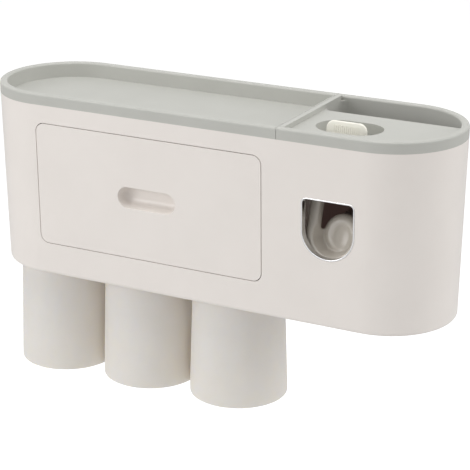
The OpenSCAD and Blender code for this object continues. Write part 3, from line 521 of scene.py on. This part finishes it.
# The return spring is wound from steel wire round the pin, and its leg lies back under the
# pump's top plate.
wire_radius = 0.5 * mm
wire_end_round = 0.15 * mm
coil_radius = 2.8 * mm
coil_turns = 6
coil_pitch = 1.5 * mm
steps_per_turn = 24
coil_steps = steps_per_turn * coil_turns
coil_length = coil_pitch * coil_turns
leg_length = 12 * mm
spring = add(bpy.ops.mesh.primitive_circle_add, vertices=12, radius=wire_radius,
    location=(-coil_length / 2, 0, coil_radius), rotation=along_y)
apply_modifier(spring, "SCREW", axis="X", angle=2 * math.pi * coil_turns, steps=coil_steps,
    render_steps=coil_steps, screw_offset=coil_length)
edit(spring)
bpy.ops.mesh.select_all(action="DESELECT")
bpy.ops.mesh.select_non_manifold()
bpy.ops.mesh.edge_face_add()
leg = add(bpy.ops.mesh.primitive_cylinder_add, vertices=12, radius=wire_radius,
    depth=leg_length, location=(coil_length / 2, leg_length / 2, coil_radius),
    rotation=along_y)
edit(leg)
bpy.ops.mesh.bevel(offset=wire_end_round, segments=2, affect="EDGES")
join(spring, [leg])
spring.name = "spring_wire"
spring.location = centre("lever_pin")
settle(spring, steel, "pump_unit")
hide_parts("lever_spring")

# The grip is a cream tab with rounded shoulders and fine ribs that stands up in the finger
# well. Its foot lies on the pump's top plate, held by two pegs, and lifts the pump.
grip_thickness = 3.6 * mm
grip_taper = 1.7 * mm
grip_lean = 1.6 * mm
grip_shoulder = 5 * mm
grip_edge = 0.8 * mm
foot_depth = 2 * mm
foot_edge = 0.4 * mm
rib_count = 13
rib_pitch = 1.5 * mm
rib_radius = 0.45 * mm
rib_relief = 0.3 * mm
rib_top = 2.6 * mm
rib_length = 9 * mm
peg_radius = 2 * mm
peg_half = 11 * mm
grip_low, grip_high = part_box("grip_tab")
plate_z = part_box("pump_frame")[1].z
grip_x = (grip_low.x + grip_high.x) / 2
face_y = grip_low.y + rib_relief
grip_middle = face_y + grip_thickness / 2
grip_width = grip_high.x - grip_low.x
grip_height = grip_high.z - plate_z
grip_slope = grip_lean / grip_height
grip = add(bpy.ops.mesh.primitive_cube_add, size=1,
    location=(grip_x, grip_middle, plate_z + grip_height / 2),
    scale=(grip_width, grip_thickness, grip_height))
edit(grip)
pick(grip, "VERT", lambda at: at.z > plate_z + near)
narrowing = 1 - 2 * grip_taper / grip_width
bpy.ops.transform.resize(value=(narrowing, 1, 1), center_override=(grip_x, 0, 0))
pick(grip, "VERT", lambda at: at.z > plate_z + near and at.y < grip_middle)
bpy.ops.transform.translate(value=(0, grip_lean, 0))
for end in (-1, 1):
    pick(grip, "VERT", lambda at: at.z > plate_z + near and (at.x - grip_x) * end > 0)
    bpy.ops.mesh.bevel(offset=grip_shoulder, segments=10, affect="EDGES")
pick(grip, "VERT", lambda at: at.y < grip_middle)
bpy.ops.mesh.bevel(offset=grip_edge, segments=4, affect="EDGES")
pick(grip, "VERT", lambda at: at.y > face_y + grip_thickness - near)
bpy.ops.mesh.bevel(offset=grip_edge, segments=4, affect="EDGES")
grip_parts = []
rib_z = grip_high.z - rib_top - rib_length / 2
rib_y = face_y + grip_slope * (rib_z - plate_z) + rib_radius - rib_relief
for place in range(rib_count):
    rib_x = grip_x + (place - (rib_count - 1) / 2) * rib_pitch
    grip_parts.append(add(bpy.ops.mesh.primitive_cylinder_add, vertices=16,
        radius=rib_radius, depth=rib_length, location=(rib_x, rib_y, rib_z),
        rotation=(-math.atan(grip_slope), 0, 0)))
foot = add(bpy.ops.mesh.primitive_cube_add, size=1,
    location=(grip_x, (face_y + grip_high.y) / 2, plate_z + foot_depth / 2),
    scale=(grip_width, grip_high.y - face_y, foot_depth))
edit(foot)
bpy.ops.mesh.bevel(offset=foot_edge, segments=2, affect="EDGES")
grip_parts.append(foot)
peg_top = plate_z + foot_depth / 2
peg_y = grip_high.y - peg_radius
for end in (-1, 1):
    grip_parts.append(add(bpy.ops.mesh.primitive_cylinder_add, vertices=32,
        radius=peg_radius, depth=peg_top - grip_low.z,
        location=(grip_x + end * peg_half, peg_y, (grip_low.z + peg_top) / 2)))
join(grip, grip_parts)
grip.name = "grip_skin"
grip_plastic = surface("grip_plastic", colour=(0.94, 0.92, 0.83), shade=(0.92, 0.90, 0.81),
    rough=0.45, grain=1.5 * mm, relief=0.005 * mm)
settle(grip, grip_plastic, "pump_unit")
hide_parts("grip_tab")

# The tray on the left is a grey-green moulding with a thick rounded rim, a flat floor and a
# locating edge below, which drops into the top of the housing. Its right end is flat.
rim_plastic = surface("rim_plastic", colour=(0.505, 0.505, 0.47), shade=(0.49, 0.49, 0.455),
    rough=0.5, grain=0.5 * mm, relief=0.03 * mm)
rim_wall = 5.5 * mm
rim_round = 1.5 * mm
tray_depth = 8.5 * mm
tray_corner = 0.5 * mm
tray_end_wall = 1.9 * mm
locating_inset = 2.8 * mm
locating_depth = 3 * mm
tray_low, tray_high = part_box("tray")
rim_radius = (tray_high.y - tray_low.y) / 2
rim_bottom = tray_low.z + locating_depth
tray_length = tray_high.x - tray_low.x + rim_wall - tray_end_wall
tray = add(bpy.ops.mesh.primitive_plane_add, size=1,
    location=(tray_low.x + tray_length / 2, (tray_low.y + tray_high.y) / 2, rim_bottom),
    scale=(tray_length, 2 * rim_radius, 1))
tray.name = "tray_skin"
edit(tray)
pick(tray, "VERT", lambda at: at.x < 0)
bpy.ops.mesh.bevel(offset=rim_radius, segments=48, affect="VERTICES")
bpy.ops.mesh.select_all(action="SELECT")
bpy.ops.mesh.remove_doubles(threshold=weld_gap)


def round_over(radius, start, end, outwards):
    """Takes the open face round a quarter circle, between inwards and along its normal."""
    steps = 6
    turns = [math.radians(start + (end - start) * step / steps) for step in range(steps + 1)]
    for turn, following in zip(turns, turns[1:]):
        bpy.ops.mesh.inset(
            thickness=radius * abs(math.cos(turn) - math.cos(following)),
            depth=outwards * radius * abs(math.sin(turn) - math.sin(following)))


def raise_face(distance):
    """Draws the open face up, or down where the distance is negative."""
    bpy.ops.mesh.extrude_region_move(TRANSFORM_OT_translate={"value": (0, 0, distance)})


raise_face(tray_high.z - rim_bottom - rim_round)
round_over(rim_round, 0, 90, 1)
bpy.ops.mesh.inset(thickness=rim_wall - 2 * rim_round)
round_over(rim_round, 90, 180, -1)
raise_face(rim_round + tray_corner - tray_depth)
round_over(tray_corner, 0, 90, -1)
pick(tray, "FACE", lambda at: at.z < rim_bottom + near)
bpy.ops.mesh.inset(thickness=locating_inset)
raise_face(-locating_depth)
trim_off(tray, (tray_high.x, 0, 0), (1, 0, 0))
settle(tray, rim_plastic, "tray")
tray.modifiers.new("shade", "WEIGHTED_NORMAL").keep_sharp = True
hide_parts("tray")

# The cover over the pump completes the rim. It has a finger well, which a thin plate closes
# below, and the bay for the tube of paste is open behind it.
dress(["dispenser_cover", "well_floor"], rim_plastic)

# Each tumbler is turned in outline, of frosted plastic, with a rounded mouth, and hangs
# upside down. A disc magnet under a thin cap in its base meets the one in the housing.
mouth_radius = 36.2 * mm
base_radius = 33.7 * mm
cup_wall = 2 * mm
cup_base = 2.4 * mm
cup_corner = 3 * mm
lean_degrees = 2
cap_gap = 0.1 * mm
boss_depth = 3.2 * mm
boss_wall = 2.5 * mm
pole_radius = 4 * mm
cup_low, cup_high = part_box("cup_left")
cup_height = cup_high.z - cup_low.z
inner_top = cup_height - cup_base
cap_low, cap_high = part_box("cup_cap_left")
cap_radius = (cap_high.x - cap_low.x) / 2
pocket_floor = cup_height - (cup_high.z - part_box("cup_magnet_left")[0].z)


def arc(radius_at, height_at, radius, start, end, steps=8):
    """Points of a round corner in the outline, from one angle to the other, in degrees."""
    angles = [math.radians(start + (end - start) * step / steps) for step in range(steps + 1)]
    return [(radius_at + radius * math.cos(a), height_at + radius * math.sin(a)) for a in angles]


def turned(outline, sides):
    """A closed form turned round Z, whose outline runs from near the axis back to it."""
    form = add(bpy.ops.mesh.primitive_circle_add, vertices=sides, radius=outline[0][0],
        fill_type="NGON", location=(0, 0, outline[0][1]))
    edit(form)
    for before, after in zip(outline, outline[1:]):
        bpy.ops.mesh.extrude_region_move(
            TRANSFORM_OT_translate={"value": (0, 0, after[1] - before[1])})
        scale = after[0] / before[0]
        bpy.ops.transform.resize(value=(scale, scale, 1))
    bpy.ops.object.mode_set(mode="OBJECT")
    return form


cup_outline = [
    (pole_radius, pocket_floor),
    (cap_radius + cap_gap, pocket_floor),
    (cap_radius + cap_gap, cup_height),
    *arc(base_radius - cup_corner, cup_height - cup_corner, cup_corner, 90, lean_degrees),
    *arc(mouth_radius - cup_wall / 2, cup_wall / 2, cup_wall / 2, 0, -180),
    *arc(base_radius - cup_wall - cup_corner, inner_top - cup_corner, cup_corner,
        lean_degrees, 90),
    (cap_radius + boss_wall, inner_top),
    (cap_radius + boss_wall, inner_top - boss_depth),
    (pole_radius, inner_top - boss_depth)]
tumbler = turned(cup_outline, sides=128)
cup_plastic = surface("cup_plastic", colour=(0.81, 0.755, 0.695), shade=(0.79, 0.735, 0.675),
    rough=0.45, grain=0.6 * mm, relief=0.015 * mm)
cup_shader = cup_plastic.node_tree.nodes["Principled BSDF"]
cup_shader.inputs["Subsurface Weight"].default_value = 0.5
cup_shader.inputs["Subsurface Radius"].default_value = (1, 0.8, 0.5)
cup_shader.inputs["Subsurface Scale"].default_value = 12 * mm
for side in ("left", "middle", "right"):
    low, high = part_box("cup_" + side)
    skin = tumbler.copy()
    skin.data = tumbler.data.copy()
    bpy.context.scene.collection.objects.link(skin)
    skin.name = "tumbler_skin_" + side
    skin.location = ((low.x + high.x) / 2, (low.y + high.y) / 2, low.z)
    settle(skin, cup_plastic, "tumbler_" + side)
    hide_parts("cup_" + side)
    dress(["cup_cap_" + side], cup_plastic)
    dress(["cup_magnet_" + side], steel)
bpy.data.objects.remove(tumbler)
